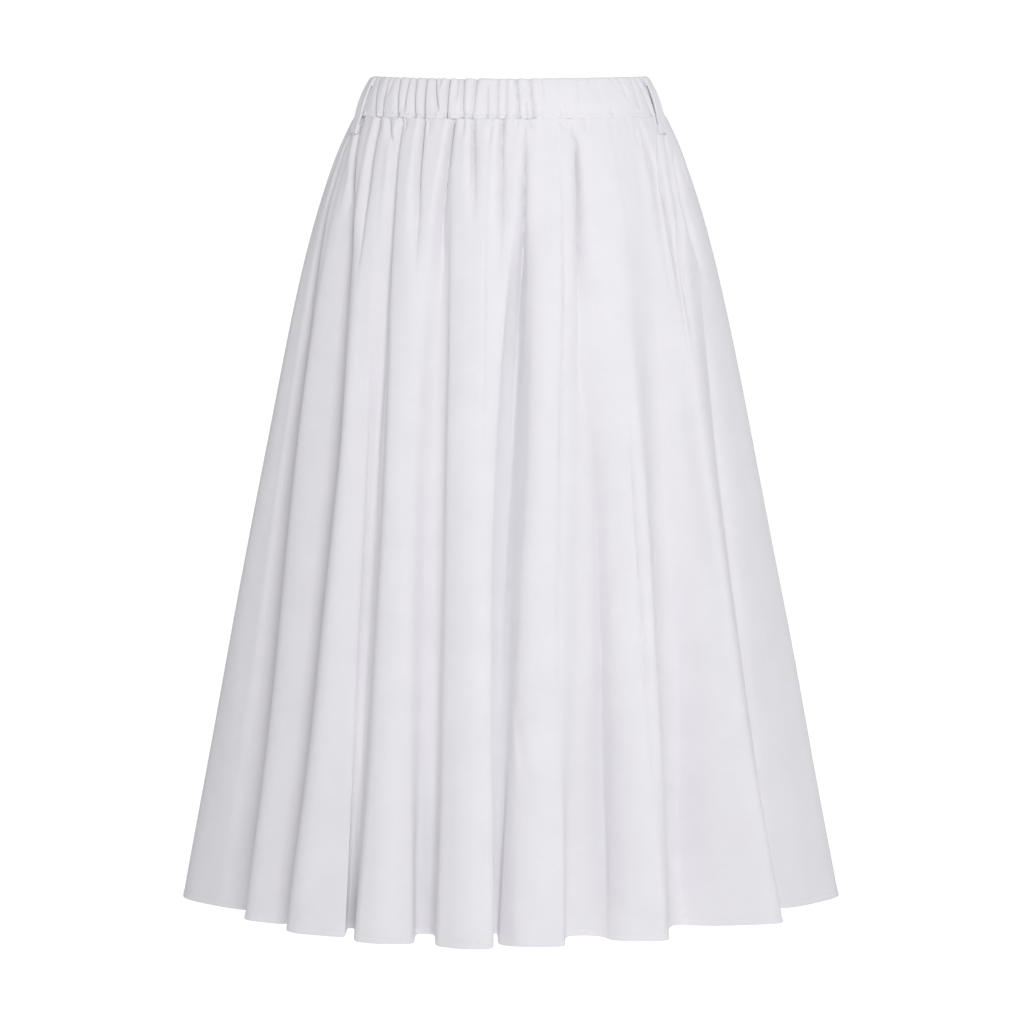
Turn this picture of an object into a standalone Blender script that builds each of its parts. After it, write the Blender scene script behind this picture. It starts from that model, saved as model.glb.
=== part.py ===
"""Gathered A-line midi skirt: an elastic waistband, a front and a back panel, two belt loops.

Units are metres, +Z is up. The origin is at the centre of the waistband, half way up it.
The wearer's front faces -Y, and +X is to the right for someone who looks at the front.
Bearings are degrees round the waist: 0 at the front, 90 at +X, 180 at the back.
"""

from collections import namedtuple
from math import cos, degrees, exp, pi, radians, sin

import bmesh
import bpy
from mathutils import Vector

# Waistband: a strip folded over its elastic, oval and leaning in towards the top
BAND_HEIGHT = 0.036
BAND_WALL = 0.003
BAND_TOP_WIDTH = 0.250
BAND_TOP_DEPTH = 0.190
BAND_PUFF = 0.0015
BAND_POINTS = 96
BAND_ROWS = 4

# Skirt panels, from the waistband's seam to the hem
CLOTH = 0.0012
SEAM_GAP = 0.0003
SKIRT_DROP = 0.7265
SEAM_WIDTH = 0.282
SEAM_DEPTH = 0.211
HIP_SPRING = 0.054  # how much wider the cloth would start, had it no gathers to spring from
HIP_DEPTH_SPRING = 0.028
HIP_REACH = 0.075  # height over which the gathers let go
WALL_BEARING = 4.0  # degrees at the band between a valley and the start of the next fold
PANEL_ROWS = (0.0, 0.025, 0.055, 0.10, 0.17, 0.28, 0.45, SKIRT_DROP)
CORNER_POINTS = 4

# Belt loops
LOOP_WIDTH = 0.013
LOOP_THICKNESS = 0.0016
LOOP_TOP = 0.0015  # below the band's top edge
LOOP_TAIL = 0.0142  # below the band's seam
LOOP_BOW = 0.0032  # how far the middle stands off the band
LOOP_FLATNESS = 0.6  # under 1, the loop keeps that distance over more of its height
LOOP_ROWS = 12
LEFT_LOOP_BEARINGS = (-76.5, -70.5)  # at its top and at its foot
RIGHT_LOOP_BEARINGS = (76.0, 70.5)

HALF_BAND = BAND_HEIGHT / 2

# One row for each hanging fold, from the left side across the front to the right, then round
# the back: anticlockwise as seen from above.
# start, end: the fold's two shoulders at the hem (x, y).
# valley: the recess after it (x, y, and how far the hem rises in it).
# shoulder, top: the bearings at the band where the end shoulder and the valley begin.
# start_soft, end_soft: 1 rounds a shoulder fully, near 0 leaves it creased.
Fold = namedtuple("Fold", "name start end valley shoulder top start_soft end_soft")
FOLDS = (
    Fold("left_side", (-0.317, 0.022), (-0.243, -0.058), (-0.228, -0.066, 0.003), -78, -74, 1.0, 0.6),
    Fold("left_third", (-0.246, -0.102), (-0.203, -0.131), (-0.188, -0.127, 0.004), -66, -62, 0.7, 0.7),
    Fold("left_second", (-0.203, -0.169), (-0.144, -0.198), (-0.140, -0.178, 0.006), -51, -47, 0.8, 0.7),
    Fold("left_first", (-0.135, -0.230), (-0.084, -0.232), (-0.074, -0.203, 0.008), -26, -22, 0.8, 0.8),
    Fold("centre_left", (-0.063, -0.255), (-0.012, -0.256), (-0.009, -0.206, 0.010), 2, 6, 0.8, 0.7),
    Fold("centre_right", (-0.005, -0.243), (0.050, -0.244), (0.066, -0.195, 0.006), 17, 24, 0.7, 0.3),
    Fold("right_first", (0.088, -0.216), (0.143, -0.212), (0.141, -0.150, 0.004), 36, 47, 0.9, 0.3),
    Fold("right_second", (0.178, -0.140), (0.248, -0.123), (0.238, -0.064, 0.004), 62, 76, 1.0, 0.35),
    Fold("right_side", (0.262, -0.040), (0.3145, 0.030), (0.285, 0.064, 0.004), 97, 101, 0.9, 0.8),
    Fold("back_right_fourth", (0.298, 0.108), (0.248, 0.168), (0.216, 0.156, 0.005), 117, 121, 0.9, 0.8),
    Fold("back_right_third", (0.218, 0.212), (0.158, 0.238), (0.139, 0.204, 0.005), 137, 141, 0.9, 0.8),
    Fold("back_right_second", (0.128, 0.252), (0.068, 0.256), (0.059, 0.220, 0.007), 156, 160, 0.8, 0.9),
    Fold("back_right_first", (0.050, 0.270), (-0.010, 0.264), (-0.021, 0.226, 0.006), 177, 181, 0.9, 0.7),
    Fold("back_left_first", (-0.034, 0.270), (-0.094, 0.252), (-0.100, 0.208, 0.007), 199, 203, 0.9, 0.9),
    Fold("back_left_second", (-0.122, 0.252), (-0.176, 0.220), (-0.172, 0.180, 0.005), 221, 225, 0.9, 0.7),
    Fold("back_left_third", (-0.207, 0.210), (-0.252, 0.168), (-0.232, 0.134, 0.006), 242, 246, 0.9, 0.8),
    Fold("back_left_fourth", (-0.276, 0.146), (-0.306, 0.092), (-0.282, 0.068, 0.004), 262, 266, 0.8, 0.8),
)
LEFT_SEAM = ("left_side", 0.6)  # fraction of the way from the fold's start to its end
RIGHT_SEAM = ("right_second", 1.8)  # past its end, on the way to the valley

CORNERS_PER_FOLD = 3
CORNERS = CORNERS_PER_FOLD * len(FOLDS)
Corner = namedtuple("Corner", "x y rise bearing soft")


def corners():
    """The hem's corners in order, each with the bearing that it starts from at the band."""
    found = []
    before = FOLDS[-1].top - 360
    for fold in FOLDS:
        found.append(Corner(*fold.start, 0.0, before + WALL_BEARING, fold.start_soft))
        found.append(Corner(*fold.end, 0.0, fold.shoulder, fold.end_soft))
        found.append(Corner(*fold.valley, fold.top, 1.0))
        before = fold.top
    return found


def lerp(first, second, share):
    return tuple(a + (b - a) * share for a, b in zip(first, second))


def hem_at(position):
    """(x, y, rise, bearing) on the rounded hem line. A position counts corners from the first."""
    ring = corners()
    nearest = int(position + 0.5)
    offset = position - nearest

    def corner(index):
        turns, place = divmod(index, CORNERS)
        x, y, rise, bearing, _soft = ring[place]
        return x, y, rise, bearing + 360 * turns

    here = corner(nearest)
    reach = ring[nearest % CORNERS].soft / 2
    if abs(offset) >= reach:
        other = corner(nearest + (1 if offset > 0 else -1))
        return lerp(here, other, abs(offset))
    into = lerp(here, corner(nearest - 1), reach)
    out = lerp(here, corner(nearest + 1), reach)
    share = (offset / reach + 1) / 2
    return lerp(lerp(into, here, share), lerp(here, out, share), share)


def seam_position(seam):
    name, share = seam
    index = [fold.name for fold in FOLDS].index(name)
    return CORNERS_PER_FOLD * index + share


def skirt_point(position, drop):
    """The cloth's middle surface, at this distance below the waistband's seam."""
    x, y, rise, bearing = hem_at(position)
    turn = radians(bearing)
    share = drop / SKIRT_DROP
    spring = exp(-drop / HIP_REACH)
    wide = (1 - share) * (SEAM_WIDTH + HIP_SPRING) / 2 - spring * HIP_SPRING / 2
    deep = (1 - share) * (SEAM_DEPTH + HIP_DEPTH_SPRING) / 2 - spring * HIP_DEPTH_SPRING / 2
    height = share * rise - drop - HALF_BAND
    return Vector((wide * sin(turn) + share * x, share * y - deep * cos(turn), height))


def band_point(bearing, height):
    """The waistband's outer face, at this height above its seam."""
    turn = radians(bearing)
    share = height / BAND_HEIGHT
    puff = BAND_PUFF * 4 * share * (1 - share)
    wide = (SEAM_WIDTH + (BAND_TOP_WIDTH - SEAM_WIDTH) * share) / 2 + puff
    deep = (SEAM_DEPTH + (BAND_TOP_DEPTH - SEAM_DEPTH) * share) / 2 + puff
    return Vector((wide * sin(turn), -deep * cos(turn), height - HALF_BAND))


def material(name, colour, roughness):
    made = bpy.data.materials.new(name)
    made.use_nodes = True
    shader = made.node_tree.nodes["Principled BSDF"]
    shader.inputs["Base Color"].default_value = (*colour, 1.0)
    shader.inputs["Roughness"].default_value = roughness
    shader.inputs["Metallic"].default_value = 0.0
    return made


def cloth_object(name, rows, wall, offset, closed, look, group):
    """A wall lofted through rows of points. Offset -1 grows it inwards, 0 both ways."""
    mesh = bmesh.new()
    grid = [[mesh.verts.new(point) for point in row] for row in rows]
    for upper, lower in zip(grid, grid[1:]):
        for index in range(len(upper) if closed else len(upper) - 1):
            after = (index + 1) % len(upper)
            mesh.faces.new((upper[index], lower[index], lower[after], upper[after]))
    data = bpy.data.meshes.new(name)
    mesh.to_mesh(data)
    mesh.free()
    data.materials.append(look)
    data.shade_smooth()
    made = bpy.data.objects.new(name, data)
    group.objects.link(made)
    shell = made.modifiers.new("wall", "SOLIDIFY")
    shell.thickness = wall
    shell.offset = offset
    shell.use_even_offset = True
    return made


def make_waistband(look, group):
    rows = []
    for row in range(BAND_ROWS, -1, -1):
        height = BAND_HEIGHT * row / BAND_ROWS
        bearings = [360 * index / BAND_POINTS for index in range(BAND_POINTS)]
        rows.append([band_point(bearing, height) for bearing in bearings])
    return cloth_object("waistband", rows, BAND_WALL, -1, True, look, group)


def panel_positions(first, last):
    """Places along the hem line: the seams, each corner, and steps between corners."""
    steps = range(int(first * CORNER_POINTS) + 1, int(last * CORNER_POINTS) + 1)
    return [first] + [step / CORNER_POINTS for step in steps] + [last]


def inset(position, towards, drop):
    """Half of the seam's gap in from a panel's edge."""
    edge = skirt_point(position, drop)
    inner = skirt_point(towards, drop)
    return edge + (inner - edge).normalized() * SEAM_GAP / 2


def make_panel(name, first, last, look, group):
    places = panel_positions(first, last)
    rows = []
    for drop in PANEL_ROWS:
        inner = [skirt_point(position, max(drop, SEAM_GAP)) for position in places[1:-1]]
        start = inset(places[0], places[1], max(drop, SEAM_GAP))
        end = inset(places[-1], places[-2], max(drop, SEAM_GAP))
        rows.append([start, *inner, end])
    return cloth_object(name, rows, CLOTH, 0, False, look, group)


def position_at(bearing):
    """Where on the hem line the cloth that starts at this bearing hangs."""
    low, high = 0.0, float(CORNERS)
    while high - low > 1e-6:
        middle = (low + high) / 2
        if hem_at(middle)[3] < bearing:
            low = middle
        else:
            high = middle
    return low


def surface_under_loop(bearing, height, outward):
    """The outer face at this height above the seam, on the band or on the panel below it."""
    if height >= 0:
        return band_point(bearing, height)
    return skirt_point(position_at(bearing), -height) + outward * CLOTH / 2


def make_belt_loop(name, bearings, look, group):
    top, foot = bearings
    spread = degrees(2 * LOOP_WIDTH / (SEAM_WIDTH + SEAM_DEPTH))
    high = BAND_HEIGHT - LOOP_TOP
    rows = []
    for row in range(LOOP_ROWS + 1):
        share = row / LOOP_ROWS
        bearing = top + (foot - top) * share
        turn = radians(bearing)
        outward = Vector((sin(turn) / SEAM_WIDTH, -cos(turn) / SEAM_DEPTH, 0)).normalized()
        along = Vector((-outward.y, outward.x, 0))
        height = high - (high + LOOP_TAIL) * share
        across = [
            surface_under_loop(bearing + side * spread, height, outward) for side in (-1, 0, 1)
        ]
        centre = across[1]
        proud = max((point - centre).dot(outward) for point in across)
        bow = LOOP_BOW * max(sin(pi * share), 0.0) ** LOOP_FLATNESS
        stand = SEAM_GAP + LOOP_THICKNESS / 2 + max(proud, 0.0) + bow
        middle = centre + outward * stand
        rows.append([middle - along * LOOP_WIDTH / 2, middle + along * LOOP_WIDTH / 2])
    return cloth_object(name, rows, LOOP_THICKNESS, 0, False, look, group)


def main():
    for old in list(bpy.data.objects):
        bpy.data.objects.remove(old, do_unlink=True)
    group = bpy.data.collections.new("gathered_midi_skirt")
    bpy.context.scene.collection.children.link(group)

    band_cloth = material("band_cloth", (0.80, 0.79, 0.84), 0.88)
    panel_cloth = material("panel_cloth", (0.80, 0.79, 0.84), 0.90)
    loop_cloth = material("loop_cloth", (0.80, 0.79, 0.84), 0.86)

    left = seam_position(LEFT_SEAM)
    right = seam_position(RIGHT_SEAM)
    make_waistband(band_cloth, group)
    make_panel("skirt_front", left, right, panel_cloth, group)
    make_panel("skirt_back", right, left + CORNERS, panel_cloth, group)
    make_belt_loop("belt_loop_left", LEFT_LOOP_BEARINGS, loop_cloth, group)
    make_belt_loop("belt_loop_right", RIGHT_LOOP_BEARINGS, loop_cloth, group)


main()
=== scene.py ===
"""The looks of a gathered A-line midi skirt in plain white cotton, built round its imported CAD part.

Metres, +Z up. The front faces -Y, and +X is to the right for someone who looks at the front.
Bearings are degrees round the waist: 0 at the front, 90 at +X, 180 at the back.
A place on the cloth is a bearing, where its thread leaves the waistband, and a drop, how far
it hangs below the waistband's seam. The hem line has corners, and a position counts them.
The tables of folds, creases, valleys and steps have their lengths and drops in millimetres.
"""

from collections import namedtuple

import bpy
import numpy as np
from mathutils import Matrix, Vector


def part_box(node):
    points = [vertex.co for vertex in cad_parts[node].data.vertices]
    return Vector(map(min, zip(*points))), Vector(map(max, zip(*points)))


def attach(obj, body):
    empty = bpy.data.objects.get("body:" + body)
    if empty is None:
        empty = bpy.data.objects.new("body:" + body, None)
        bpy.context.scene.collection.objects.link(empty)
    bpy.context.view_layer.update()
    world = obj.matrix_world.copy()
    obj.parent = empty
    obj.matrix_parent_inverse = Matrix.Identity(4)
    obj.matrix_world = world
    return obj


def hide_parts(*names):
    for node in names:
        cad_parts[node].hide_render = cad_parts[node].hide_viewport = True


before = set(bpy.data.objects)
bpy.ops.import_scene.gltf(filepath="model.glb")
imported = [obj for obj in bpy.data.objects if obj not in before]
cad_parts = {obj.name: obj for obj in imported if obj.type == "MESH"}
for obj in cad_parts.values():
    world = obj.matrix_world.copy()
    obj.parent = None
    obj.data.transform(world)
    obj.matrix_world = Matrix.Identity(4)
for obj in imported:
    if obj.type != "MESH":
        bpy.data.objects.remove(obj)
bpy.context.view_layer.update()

MM = 0.001

# Levels, from the frame
BAND_HEIGHT = 36 * MM
BAND_MIDDLE = (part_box("waistband")[0][2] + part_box("waistband")[1][2]) / 2
BAND_TOP = BAND_MIDDLE + BAND_HEIGHT / 2
SEAM = BAND_MIDDLE - BAND_HEIGHT / 2
SKIRT_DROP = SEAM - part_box("skirt_front")[0][2]

# The oval of the waist and the spring of the gathers, as in the CAD part
BAND_TOP_WIDTH = 0.250
BAND_TOP_DEPTH = 0.190
BAND_PUFF = 0.0015
SEAM_WIDTH = 0.282
SEAM_DEPTH = 0.211
HIP_SPRING = 0.054
HIP_DEPTH_SPRING = 0.028
HIP_REACH = 0.075
WALL_BEARING = 4.0

FRONT_DIP = 0.0020  # how far the waistline sinks at the front, and at the back
BACK_DIP = 0.0030
DIP_REACH = 0.10

# The hanging folds, close to the CAD part's, from the left side across the front and round the
# back.
# shoulder, top: the bearings at the band where the right shoulder and the valley begin.
# bow: how far the valley bends aside half way down, towards greater bearings.
# front: the fold's shoulders at the hem (x, y, softness), from its left end to its right end.
# valley: the recess after it (x, y, how far the hem rises in it, softness).
# softness: 1 rounds a corner fully, near 0 leaves it creased.
Fold = namedtuple("Fold", "name shoulder top bow front valley")
FOLDS = (
    Fold("left_side", -78, -74, 1, ((-317, 22, 1), (-243, -58, 0.6)), ((-228, -66, 3, 1),)),
    Fold("left_third", -66, -62, 25, ((-246, -102, 0.7), (-203, -131, 0.7)), ((-188, -127, 4, 1),)),
    Fold(
        "left_second", -51, -47, 16,
        ((-203, -169, 0.8), (-146, -197, 0.4)),
        ((-143.5, -181, 6, 0.5), (-138.5, -183, 6, 0.5)),
    ),
    Fold(
        "left_first", -26, -22, -1,
        ((-137, -216, 0.5), (-116, -230, 1), (-85.5, -228, 0.4)),
        ((-83, -211, 6, 0.5), (-67, -213, 6, 0.5)),
    ),
    Fold(
        "centre_left", 2, 6, -5,
        ((-65.5, -239, 0.5), (-41, -256, 1), (-15.5, -254, 0.5)),
        ((-14.5, -226, 9, 0.5), (-11.5, -226, 9, 0.5)),
    ),
    Fold(
        "centre_right", 17, 24, 0,
        ((-10.5, -232, 0.5), (12, -245, 1), (47.5, -241, 0.3)),
        ((50, -223, 6, 0.6), (78, -212, 5, 1)),
    ),
    Fold("right_first", 36, 47, 0, ((90, -215, 0.9), (141, -212, 0.3)), ((141, -150, 4, 1),)),
    Fold("right_second", 62, 76, -20, ((178, -140, 1), (248, -123, 0.35)), ((238, -64, 4, 1),)),
    Fold("right_side", 97, 101, 0, ((262, -40, 0.9), (314.5, 30, 0.8)), ((285, 64, 4, 1),)),
    Fold("back_right_fourth", 117, 121, 6, ((298, 108, 0.9), (248, 168, 0.8)), ((216, 156, 5, 1),)),
    Fold("back_right_third", 137, 141, -8, ((218, 212, 0.9), (158, 238, 0.8)), ((139, 204, 5, 1),)),
    Fold("back_right_second", 156, 160, 4, ((128, 252, 0.8), (68, 256, 0.9)), ((59, 220, 7, 1),)),
    Fold("back_right_first", 177, 181, -4, ((50, 270, 0.9), (-10, 264, 0.7)), ((-21, 226, 6, 1),)),
    Fold("back_left_first", 199, 203, 8, ((-34, 270, 0.9), (-94, 252, 0.9)), ((-100, 208, 7, 1),)),
    Fold("back_left_second", 221, 225, 10, ((-122, 252, 0.9), (-176, 220, 0.7)), ((-172, 180, 5, 1),)),
    Fold("back_left_third", 242, 246, -4, ((-207, 210, 0.9), (-252, 168, 0.8)), ((-232, 134, 6, 1),)),
    Fold("back_left_fourth", 262, 266, 5, ((-276, 146, 0.8), (-306, 92, 0.8)), ((-282, 68, 4, 1),)),
)
BACK_FOLDS = FOLDS[[fold.name for fold in FOLDS].index("right_side") :]
BOW_PLACE = 0.75  # 1 puts a valley's bend half way down, and less puts it higher
CORNERS = sum(len(fold.front) + len(fold.valley) for fold in FOLDS)
CORNER_SAMPLES = 40  # points for measuring the hem line, from one corner to the next
LEFT_SEAM = 0.6  # position of the left side seam, on the first fold
RIGHT_SEAM = CORNERS - 28.2  # position of the right side seam, beside the valley of right_second
HEM_BLUR = 8 * MM  # the hem line's corners are this much softer up the skirt
CRISP_FROM = 0.70  # and crisp again from this share of the drop
CRISP_OVER = 0.28
SEAM_SLIT = 0.04 * MM  # between the two panels at a side seam

# The cloth
CLOTH = 0.7 * MM
HEM_CLOTH = 1.1 * MM
HEM_WIDTH = 7.0 * MM
HEM_EDGE = 1.2 * MM  # over which it thickens at the hem's upper edge
HEM_STITCH = 5.5 * MM  # height of the hem's stitching above its edge
# From this drop on, rows are this far apart
ROW_STEPS = ((0, 0.0015), (0.036, 0.003), (0.12, 0.01), (0.69, 0.005), (SKIRT_DROP - 0.012, 0.0015))
FRONT_COLUMNS = 400
BACK_COLUMNS = 400
COLUMN_SAMPLES = 12  # points for spacing the columns, from one to the next
CROWDING = 1.2
CROWD_WIDTH = 0.9  # degrees
CROWD_POINTS = 3  # from the upper end of a crease
MOST_CROWDED = 3.0

# Creases, given one by one. line: (drop, bearing) points down the crease. depth: of its sharp
# bottom. width: how far the cloth takes to sink into it on its left. roll: height of the soft
# roll before that. CREASE_STRENGTH multiplies depth and roll, and CREASE_WIDTH the width.
Crease = namedtuple("Crease", "line depth width roll")
FRONT_CREASES = [Crease(*row) for row in (
    (((0, -70.5), (22, -68.8), (58, -66.6), (89, -65.6), (121, -64.2), (190, -63)), 3.6, 2.4, 0.5),
    (((12, -77), (31, -79.8), (60, -78.6), (100, -78)), 3.4, 2.4, 0.5),
    (((0, -56.8), (27, -57.4), (64, -57.4), (90, -57.9), (160, -58)), 3.8, 2.4, 0.6),
    (((0, -51.5), (25, -46.3), (66, -43.9)), 1.6, 2.6, 0.2),
    (((40, -67), (65, -67.5), (106, -67.8)), 1.6, 2.4, 0.4),
    (((0, -43.6), (30, -44.2), (85, -44.2), (118, -44.4), (180, -45.4)), 3.3, 2.4, 0.6),
    (((0, -42.2), (12, -41)), 1.4, 1.2, 0.2),
    (((0, -33.3), (29, -32.8), (56, -32.4), (85, -31.4), (150, -30.4)), 3.9, 2.2, 0.5),
    (((0, -31), (18, -29.9)), 1.2, 1.2, 0.2),
    (((0, -20.9), (29, -20.9), (85, -21.3), (118, -21), (180, -20.2)), 3.8, 2.2, 0.5),
    (((0, -17), (18, -16.5)), 1.2, 1.2, 0.2),
    (((0, -13.3), (29, -12), (69, -10.8), (100, -10.4)), 3.4, 2, 0.4),
    (((6, -6.8), (26, -6.8)), 0.9, 1.6, 0),
    (((0, -2.3), (29, -2), (51, -1.2), (84, -0.9), (160, -0.5)), 3.3, 2.6, 0.5),
    (((0, 2.9), (12, 3.1)), 0.9, 1.2, 0),
    (((10, 5.8), (38, 6.6), (85, 7.4), (118, 7.9), (360, 7)), 4.4, 2.4, 0.5),
    (((0, 6.7), (10, 8)), 1.6, 1.2, 0.2),
    (((0, 17.6), (14, 20.6)), 1, 1.2, 0),
    (((8, 22.3), (20, 24.3), (47, 24.2), (85, 24.2), (200, 24)), 4.2, 2.6, 0.3),
    (((0, 27.9), (14, 27.4)), 1, 1.2, 0),
    (((0, 48.6), (12, 48)), 0.5, 1.2, 0),
    (((12, 51.2), (32, 49.7)), 0.7, 1.4, 0),
    (((10, 55.2), (35, 55.6), (62, 55.4), (100, 54.6), (180, 55.4)), 3.2, 2.2, 0.2),
    (((12, 67.4), (22, 65.8), (40, 63.2), (67, 60.4), (115, 59.6), (280, 60)), 3.6, 2.2, 0.3),
    (((15, 74), (31, 72.2), (54, 69.6), (87, 69.7), (121, 66.3), (240, 63.5)), 4.8, 2.4, 0.3),
    (((40, 75.5), (77, 74.7), (106, 77.1), (160, 79.8)), 3.4, 2.4, 0.2),
    (((55, 17.4), (118, 17.1), (295, 16.8), (469, 16.7), (700, 16.5)), 1.5, 0.7, 0.1),
    (((100, -6.2), (250, -4.8), (400, -3.7)), 0.5, 0.8, 0),
    (((55, -64.3), (110, -64.6)), 1, 1.4, 0),
    (((525, 11.2), (600, 14)), 0.8, 6, 0.5),
    (((280, 33.8), (390, 34.5), (480, 35), (570, 35.6), (700, 36.2)), 1.6, 0.9, 0.1),
)]

# Where the valleys between hanging folds are sharper or deeper than straight cloth makes them,
# as points down each: drop, bearing, depth, and the widths of its left and right slopes. A
# depth below 0 is a ridge.
FRONT_VALLEYS = (
    (
        (30, -80.5, 0, 14, 4), (100, -77.4, 4, 14, 4), (250, -73.2, 5, 14, 4),
        (500, -74, 6, 14, 4), (730, -75.8, 3, 14, 4),
    ),
    (
        (40, -67, 0, 14, 4), (120, -64.2, 4, 14, 4), (300, -60.6, 6, 16, 4),
        (500, -61.8, 6, 14, 4), (620, -63.4, 4, 14, 4), (730, -65, 2, 12, 4),
    ),
    (
        (60, -44.5, 0, 8, 6), (120, -46, 1, 8, 6), (250, -48.6, 4, 9, 9), (350, -49.2, 5, 9, 10),
        (450, -49.2, 5, 9, 10), (570, -48.8, 2, 9, 9), (660, -48, 0, 9, 8),
    ),
    (
        (50, -21, 1, 6, 6), (120, -20.8, 5, 9, 9), (220, -21.5, 8, 14, 20), (350, -22, 6, 14, 30),
        (500, -22.5, 4, 14, 34), (650, -22.5, 3, 14, 34), (730, -21, 1, 14, 34),
    ),
    (
        (90, 8, 0, 12, 7), (120, 8, 8, 12, 6), (210, 8.2, 17, 16, 6),
        (300, 7.8, 18, 19, 8), (390, 6.9, 17, 19, 9), (480, 6.3, 14, 15, 10),
        (570, 5.2, 10, 10, 11), (660, 5.2, 5, 8, 12), (730, 5.2, 1, 8, 12),
    ),
    (
        (60, 23, 0, 8, 8), (120, 24.2, 5, 6, 8), (210, 23.9, 8, 8, 14),
        (300, 26.2, 12, 18, 9), (390, 27, 17, 20, 11), (480, 27.2, 20, 20, 12),
        (570, 27, 22, 20, 15), (660, 26.9, 21, 20, 18), (730, 26.8, 11, 20, 18),
    ),
    (
        (180, 35.5, 0, 5, 8), (300, 36.4, -3, 5, 9), (390, 37, -4, 5, 9),
        (570, 38, -4, 5, 9), (660, 38.5, -2.5, 5, 9), (730, 38.5, 0, 5, 9),
    ),
    (
        (150, 48.5, 0, 16, 16), (300, 48.7, 6, 18, 18), (500, 49.6, 10, 20, 20),
        (660, 48.9, 16, 15, 22), (730, 48.9, 9, 15, 22),
    ),
    ((150, 76, 0, 7, 4), (300, 76, 4, 7, 4), (500, 76, 7, 7, 4), (600, 76, 8, 8, 4), (730, 76, 9, 8, 4)),
)

# Folds that lie like steps, each one's right edge behind the next. left, right: the lines of
# (drop, bearing) that it lies between. rows: (drop, raise, sink), how far its left edge stands
# out and its right edge lies back. bend: under 1, most of the fall is on its left; over 1, on
# its right.
Step = namedtuple("Step", "left right rows bend")
SIDE_LINE = ((0, -94), (730, -94))
FIRST_LINE = ((30, -80.5), (100, -77.4), (250, -73.6), (500, -74.4), (730, -75.8))
SECOND_LINE = ((30, -68), (120, -64.2), (300, -61), (500, -62.2), (730, -65))
THIRD_LINE = ((30, -44.3), (120, -44.5), (300, -47.8), (500, -48.2), (730, -47.5))
SIDE_ROWS = ((20, 0, 0), (60, 0, 8), (100, 0, 14), (250, 0, 19), (500, 0, 18), (650, 0, 14), (730, 0, 8))
SECOND_ROWS = ((20, 0, 0), (60, 3, 4), (100, 6, 9), (250, 8, 17), (500, 7, 15), (650, 4, 8), (730, 1, 2))
THIRD_ROWS = ((30, 0, 0), (120, 3, 3), (220, 6, 6), (350, 7, 7), (500, 6, 6), (650, 5, 3), (730, 3, 1))
STEPS = (
    Step(SIDE_LINE, FIRST_LINE, SIDE_ROWS, 1.5),
    Step(FIRST_LINE, SECOND_LINE, SECOND_ROWS, 0.7),
    Step(SECOND_LINE, THIRD_LINE, THIRD_ROWS, 0.8),
)
STEP_RISE = 4 * MM  # width of the slope from one step up to the next

# Creases of the waistband's front. top, foot: bearings at its top edge and at its seam;
# depth in millimetres, which BAND_CREASE_STRENGTH multiplies; low, high: where it begins and
# ends, as shares of the band's height.
BandCrease = namedtuple("BandCrease", "top foot depth low high", defaults=(0.0, 1.0))
FRONT_BAND_CREASES = [BandCrease(*row) for row in (
    (-69.3, -59.4, 1.5),
    (-60.8, -54.7, 1.7),
    (-56.7, -54, 1.3, 0.5),
    (-52.2, -45.7, 1.8),
    (-46.3, -42.8, 1.5, 0.1),
    (-42.2, -37.4, 1.7),
    (-36.8, -33.2, 1.9),
    (-32.5, -26.6, 1.4, 0.1),
    (-29.8, -28, 0.9, 0.7),
    (-25.7, -23.8, 1.8),
    (-21.7, -20.5, 1.1, 0.4),
    (-19.3, -17.4, 1.6),
    (-13.7, -14, 1.4),
    (-9.3, -8.2, 0.7, 0, 0.9),
    (-4.9, -4.7, 0.9),
    (-1.3, -1.5, 0.8),
    (2.7, 3.5, 1.3),
    (8.3, 8.8, 1.2),
    (6.6, 6.2, 0.8, 0, 0.5),
    (13, 12.5, 0.5, 0.3),
    (19.2, 19, 0.4, 0.6),
    (19, 18.9, 0.5, 0, 0.4),
    (28.6, 25, 0.5, 0.1),
    (34.5, 32, 0.4, 0.7),
    (38.3, 35.5, 0.5, 0.3, 0.9),
    (46.2, 56, 0.5, 0.8),
    (42, 41.1, 0.5, 0, 0.35),
    (51.5, 52.5, 0.7, 0.4),
    (61.2, 57.1, 0.9, 0.15),
)]


def smooth(share):
    """0 to 1, level at both ends."""
    share = np.clip(share, 0.0, 1.0)
    return share * share * (3 - 2 * share)


def bell(share):
    """1 at 0, falling to nothing on both sides."""
    return np.exp(-(share**2))


def between(first, second, share):
    return first + (second - first) * share


def unit(vectors):
    return vectors / np.linalg.norm(vectors, axis=-1, keepdims=True)


def join(*values):
    """Coordinates as points, after fitting their shapes to each other."""
    return np.stack(np.broadcast_arrays(*values), axis=-1)


def arc_lengths(points):
    """Distance along each row of points from its first."""
    steps = np.linalg.norm(np.diff(points, axis=-2), axis=-1)
    start = np.zeros(steps.shape[:-1] + (1,))
    return np.concatenate([start, np.cumsum(steps, axis=-1)], axis=-1)


def at_places(places, along, points):
    """Points at these places of a line, given how far along it its own points are."""
    return np.stack([np.interp(places, along, axis) for axis in points.T], axis=1)


def ripple(distance, pitch, seed):
    """Uneven small puckers along a stitched line, from about -1 to 1."""
    rng = np.random.default_rng(seed)
    total = np.zeros(np.shape(distance))
    for share in (1.0, 0.61, 1.43):
        phase = rng.uniform(0, 2 * np.pi)
        total += np.sin(2 * np.pi * distance / (pitch * share) + phase) / 3
    slow = np.sin(2 * np.pi * distance / (pitch * 7.3) + rng.uniform(0, 6))
    return total * (0.65 + 0.35 * slow)


# ---- The cloth's form ----


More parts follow.
